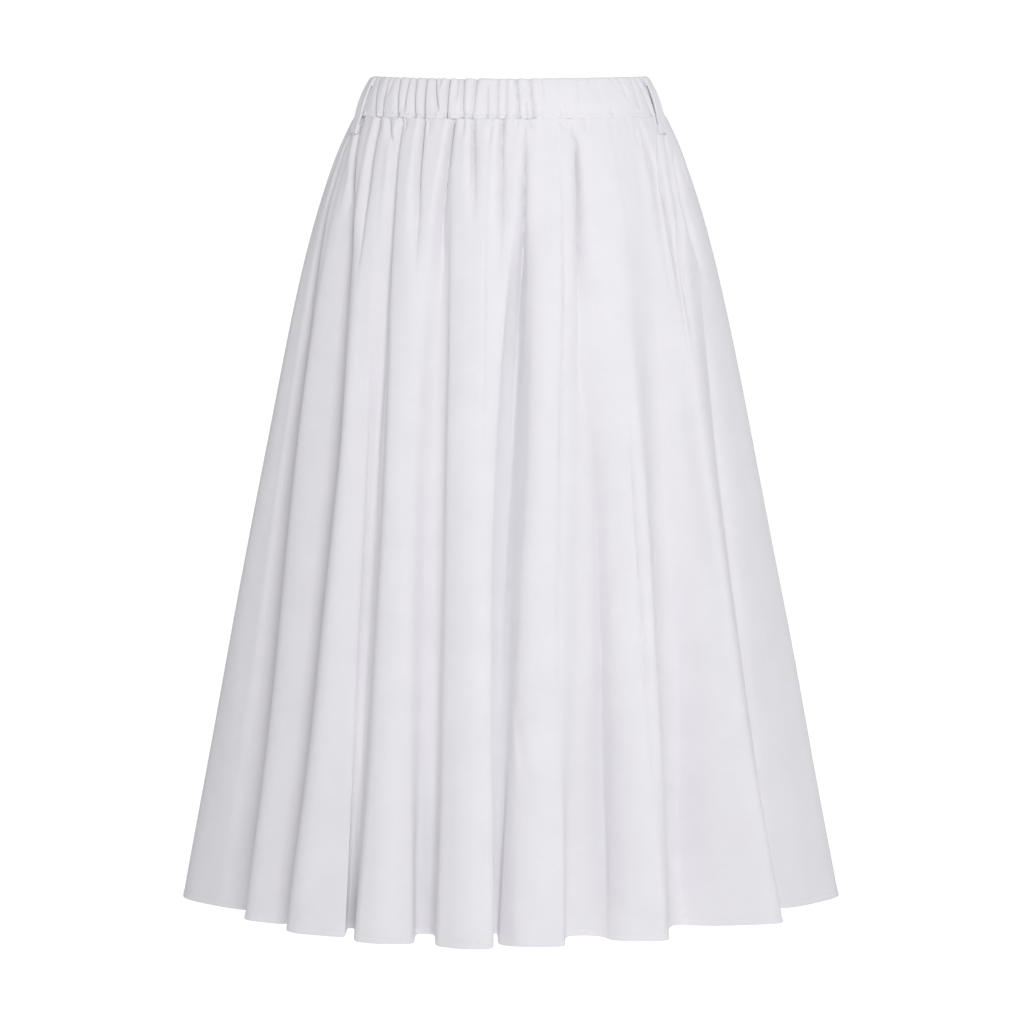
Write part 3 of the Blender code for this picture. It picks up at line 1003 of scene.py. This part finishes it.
def make_waistband(look, thread):
    profile = band_profile()
    share, inward = profile[:, :1], profile[:, 1:]
    bearings = np.linspace(0, 360, BAND_COLUMNS, endpoint=False)
    turn = np.radians(bearings)
    outward = waist_outward(turn)
    lift = band_lift(share, bearings) * (1 - INNER_CALM * inward / BAND_WALL)
    nick = NICK * (lift - BAND_STAND) * smooth((share - 1) / NICK_REACH + 1)
    face = waist_point(turn, share, SEAM + share * BAND_HEIGHT + nick - dip(turn))
    points = (face + (lift - inward)[..., None] * outward)[::-1]
    faces = grid_faces(len(profile), BAND_COLUMNS, True, True)
    round_waist = turn * (SEAM_WIDTH + SEAM_DEPTH) / 4
    uv = join(round_waist, arc_lengths(profile * [BAND_HEIGHT, 1])[::-1, None])
    piece = mesh_object("waistband_cloth", points, faces, look, uv)
    fit(piece, "waistband")

    outside = profile[: 2 * BAND_ROWS, 0] * BAND_HEIGHT
    place = (points[-1 - np.argmin(abs(outside - BAND_STITCH))], outward)
    run = stitches("waistband_stitching", *place, BAND_STITCHES, thread, True, STITCH_SINK)
    trim(run)


# ---- The belt loops ----

LOOP_WIDTH = 13 * MM
LOOP_THICKNESS = 2.6 * MM
LOOP_TOP = 3.0 * MM
LOOP_TAIL = 14.2 * MM
LOOP_BOW = 0.6 * MM
LOOP_FLATNESS = 0.6
LOOP_GAP = 0.3 * MM  # between its ends and the band
# The bearings of each at its top and at its foot
LOOP_BEARINGS = {"belt_loop_left": (-78.0, -73.0), "belt_loop_right": (76.0, 70.5)}
LOOP_ROWS = 48
LOOP_SIDES = 28
LOOP_TWIST = np.radians(8)  # its front edge lies closer to the band
LOOP_TUCK = 7 * MM  # length of the end that is folded under
LOOP_TURN = 1.0 * MM  # radius of the fold
LOOP_TURN_ROWS = 6
LOOP_TUCK_ROWS = 4
LOOP_SQUARENESS = (0.32, 0.55)  # across it and out of it: 1 is an oval, and near 0 a box
LOOP_FULLNESS = 0.8  # share of LOOP_THICKNESS, between its stitched edges
LOOP_RIM = 0.28  # how much thicker those edges are
LOOP_RIM_PLACE = 0.86  # share of its half width
LOOP_RIM_WIDTH = 0.10
LOOP_STITCH = 1.8 * MM  # from its edge
LOOP_STITCH_LEVEL = 0.42  # share of its thickness, out from its middle
LOOP_STITCHES = (2.7 * MM, 0.6 * MM)  # pitch and gap


def band_face(bearing, height):
    """A point of the waistband's plain outer face, or of the plain skirt below the seam."""
    if height < 0:
        fine = np.linspace(0, CORNERS, CORNER_SAMPLES * CORNERS)
        position = np.interp(bearing, hem_line(fine)[:, 3], fine)
        return skirt_form(np.array([position]), np.array([-height]))[0, 0]
    return waist_point(np.radians(bearing), height / BAND_HEIGHT, SEAM + height)


def loop_centreline(bearings):
    """Points down the middle of a loop, with the directions outward and across at each."""
    share = np.linspace(0, 1, LOOP_ROWS)
    bearing = between(*bearings, share)
    height = between(BAND_HEIGHT - LOOP_TOP, -LOOP_TAIL, share)
    outward = waist_outward(np.radians(bearing))
    across = join(-outward[:, 1], outward[:, 0], 0)
    swing = np.sin(np.pi * share)[:, None].clip(0)
    twist = np.sign(bearings[0]) * LOOP_TWIST * swing
    across = across * np.cos(twist) + outward * np.sin(twist)
    stand = LOOP_THICKNESS / 2 + LOOP_GAP + LOOP_BOW * swing**LOOP_FLATNESS
    wall = np.array([band_face(*place) for place in zip(bearing, height)])
    return wall + outward * stand, outward, across


def folded_end(end, down, outward):
    """The turn at a loop's end and the tail that goes back up behind it."""
    turn = np.linspace(0, np.pi, LOOP_TURN_ROWS + 1)[1:, None]
    turned = end + LOOP_TURN * (down * np.sin(turn) - outward * (1 - np.cos(turn)))
    back = np.linspace(0, LOOP_TUCK, LOOP_TUCK_ROWS + 1)[1:, None]
    return np.concatenate([turned, turned[-1] - down * back])


def loop_section():
    """(across, out) round a loop's section: a flat strip, thicker along its stitched edges."""
    turn = np.linspace(0, 2 * np.pi, LOOP_SIDES, endpoint=False)
    waves = (np.cos(turn), np.sin(turn))
    wide, thick = (np.sign(wave) * abs(wave) ** p for wave, p in zip(waves, LOOP_SQUARENESS))
    rim = 1 + LOOP_RIM * bell((abs(wide) - LOOP_RIM_PLACE) / LOOP_RIM_WIDTH)
    return join(wide * LOOP_WIDTH / 2, thick * LOOP_THICKNESS / 2 * LOOP_FULLNESS * rim)


def make_belt_loop(name, bearings, look, thread):
    middle, outward, across = loop_centreline(bearings)
    lower = folded_end(middle[-1], unit(middle[-1] - middle[-4]), outward[-1])
    upper = folded_end(middle[0], unit(middle[0] - middle[3]), outward[0])[::-1]
    line = np.concatenate([upper, middle, lower])
    across = np.pad(across, ((len(upper), len(lower)), (0, 0)), mode="edge")
    facing = unit(np.cross(across, unit(np.gradient(line, axis=0))))
    section = loop_section()
    points = line[:, None] + across[:, None] * section[:, :1] + facing[:, None] * section[:, 1:]
    last = (len(line) - 1) * LOOP_SIDES
    caps = (range(LOOP_SIDES), range(last + LOOP_SIDES - 1, last - 1, -1))
    faces = [*grid_faces(len(line), LOOP_SIDES, False, True)[:, ::-1], *caps]
    down_line = arc_lengths(line)
    uv = join(section[:, 0], -down_line[:, None])
    piece = mesh_object(name + "_cloth", points, faces, look, uv)
    fit(piece, name)

    rows = slice(len(upper), len(upper) + LOOP_ROWS)
    face = line + facing * LOOP_THICKNESS * LOOP_STITCH_LEVEL
    for side, word in ((-1, "left"), (1, "right")):
        edge = face + across * side * (LOOP_WIDTH / 2 - LOOP_STITCH)
        place = (edge[rows], facing[rows])
        run = stitches(f"{name}_stitching_{word}", *place, LOOP_STITCHES, thread)
        trim(run)


# ---- Stage, light and camera ----

WAIST_HEIGHT = 1.06  # of the band above the floor, on a standing wearer
FLOOR_RADIUS = 40
FLOOR_GREY = (0.93, 0.93, 0.93, 1.0)
FLOOR_GLOW = (0.6, 0.08)  # more for the camera, and for everything
PLAIN_WHITE = (1.0, 1.0, 1.0, 1.0)
WORLD_LIGHT = 0.42
BACKDROP_LIGHT = 1.1
LIGHT_TARGET = (0, 0, -0.25)
SOFTBOXES = (  # name, place, width and height, watts
    ("key", (0.50, -2.66, 0.95), (0.9, 1.2), 39),
    ("fill", (2.60, -0.70, 0.75), (1.2, 1.4), 13),
    ("left", (-2.20, -1.50, 0.50), (1.0, 1.4), 9),
)
CAMERA_DISTANCE = 4.5
CAMERA_ASIDE = 0.0018
AIM_BELOW = 0.40  # how far below the waistline the camera points, at the skirt
LENS = 172.4
SENSOR = 36


def make_stage():
    bpy.ops.mesh.primitive_circle_add(
        vertices=96, radius=FLOOR_RADIUS, fill_type="NGON", location=(0, 0, -WAIST_HEIGHT)
    )
    floor = bpy.context.object
    floor.name = "floor"
    colours = {"Base_Color": FLOOR_GREY, "Emission_Color": PLAIN_WHITE}
    look, tree, shader = new_look("pale_floor", Roughness=0.9, Specular_IOR_Level=0.0, **colours)
    path = add_node(tree, "ShaderNodeLightPath")
    glow = math(tree, "MULTIPLY_ADD", path.outputs["Is Camera Ray"], *FLOOR_GLOW)
    tree.links.new(glow, shader.inputs["Emission Strength"])
    floor.data.materials.append(look)


def aim(thing, target):
    direction = Vector(target) - thing.location
    thing.rotation_euler = direction.to_track_quat("-Z", "Y").to_euler()


def add_softbox(name, place, size, power):
    light = bpy.data.lights.new(name, "AREA")
    light.shape = "RECTANGLE"
    light.size, light.size_y = size
    light.energy = power
    lamp = bpy.data.objects.new(name, light)
    lamp.location = place
    aim(lamp, LIGHT_TARGET)
    lamp.visible_camera = False
    bpy.context.scene.collection.objects.link(lamp)


def make_light():
    world = bpy.data.worlds.new("studio")
    world.use_nodes = True
    bpy.context.scene.world = world
    tree = world.node_tree
    background = tree.nodes["Background"]
    backdrop = add_node(tree, "ShaderNodeBackground")
    for shader, strength in ((background, WORLD_LIGHT), (backdrop, BACKDROP_LIGHT)):
        shader.inputs["Color"].default_value = PLAIN_WHITE
        shader.inputs["Strength"].default_value = strength
    path = add_node(tree, "ShaderNodeLightPath")
    links = [(0, path.outputs["Is Camera Ray"]), (1, background.outputs[0]), (2, backdrop.outputs[0])]
    mix = add_node(tree, "ShaderNodeMixShader", links)
    tree.links.new(mix.outputs[0], tree.nodes["World Output"].inputs["Surface"])
    for softbox in SOFTBOXES:
        add_softbox(*softbox)


def make_camera():
    data = bpy.data.cameras.new("camera")
    data.lens = LENS
    data.sensor_width = SENSOR
    data.clip_end = 200
    camera = bpy.data.objects.new("camera", data)
    camera.location = (CAMERA_ASIDE, -CAMERA_DISTANCE, BAND_TOP)
    aim(camera, (CAMERA_ASIDE, 0, BAND_TOP - AIM_BELOW))
    bpy.context.scene.collection.objects.link(camera)
    bpy.context.scene.camera = camera


def main():
    make_camera()
    thread = thread_material()
    panel_look = cloth_material("panel_cotton", roughness=0.9)
    band_look = cloth_material("band_cotton", roughness=0.88)
    loop_look = cloth_material("loop_cotton", roughness=0.86)

    front = panel_positions(LEFT_SEAM, RIGHT_SEAM, FRONT_COLUMNS)
    back = panel_positions(RIGHT_SEAM, LEFT_SEAM + CORNERS, BACK_COLUMNS)
    skirt = make_cloth(np.concatenate([front, back[1:]]))
    lift = cloth_lift(skirt)
    front_cloth = cut_panel(skirt, lift, 0, FRONT_COLUMNS)
    back_cloth = cut_panel(skirt, lift, FRONT_COLUMNS - 1, None)
    make_panel("skirt_front", *front_cloth, FRONT_CUT, FRONT_CUT_AREA, panel_look, thread)
    make_panel("skirt_back", *back_cloth, BACK_CUT, BACK_CUT_AREA, panel_look, thread)
    make_waistband(band_look, thread)
    for name, bearings in LOOP_BEARINGS.items():
        make_belt_loop(name, bearings, loop_look, thread)

    make_stage()
    make_light()
    bpy.context.scene.view_settings.view_transform = "Standard"


main()
